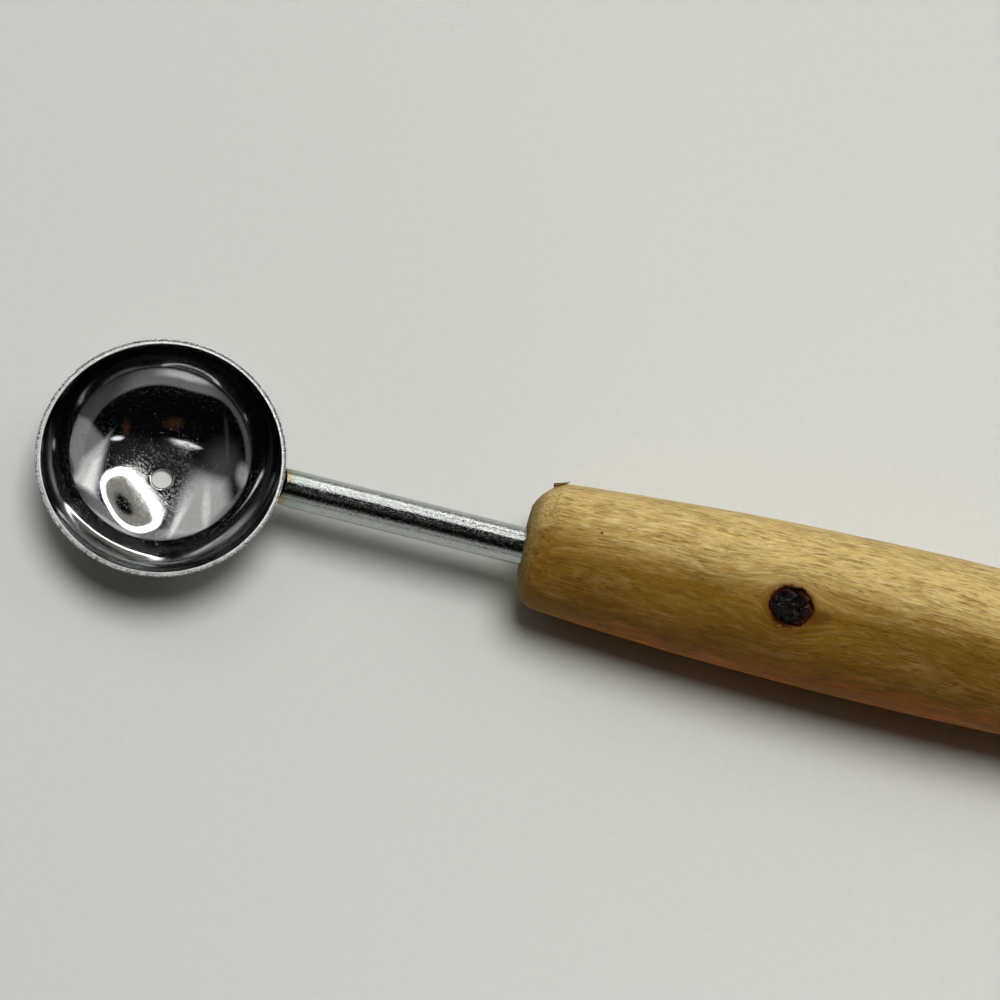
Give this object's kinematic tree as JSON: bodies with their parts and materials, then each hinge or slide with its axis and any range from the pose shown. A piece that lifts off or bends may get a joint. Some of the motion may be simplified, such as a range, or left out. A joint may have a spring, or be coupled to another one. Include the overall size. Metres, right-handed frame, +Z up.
{
  "type": "melon baller",
  "caption": "Fruit baller: a shallow chromed steel cup with a vent hole, welded to a round shank that is set in a barrel-shaped wooden handle.",
  "frame": {"origin": "under the middle of the bounding box, on the table that the tool rests on", "axes": "+X from the cup towards the butt of the handle, +Y across the tool, +Z up out of the cup's mouth; the tool's own axis rises by about 2 degrees towards the butt"},
  "size_m": [0.1598, 0.03, 0.0206],
  "materials": {
    "cup_plating": "bright plating with fine pits, hairline scratches and a rough, worn rim",
    "weld_metal": "heat-tinted straw to brown",
    "shank_plating": "bright plating over a faintly pebbled drawn rod, scratched lengthwise",
    "glue": "cured clear amber adhesive",
    "handle_wood": "pale golden hardwood with short dark pores, thin satin lacquer",
    "knot_wood": "nearly black dead knot, resinous and crumbly"
  },
  "bodies": {
    "root": {"scoop_bowl": "cup_plating", "weld": "weld_metal", "shank": "shank_plating", "adhesive": "glue", "handle": "handle_wood", "wood_knot": "knot_wood"}
  },
  "joints": []
}
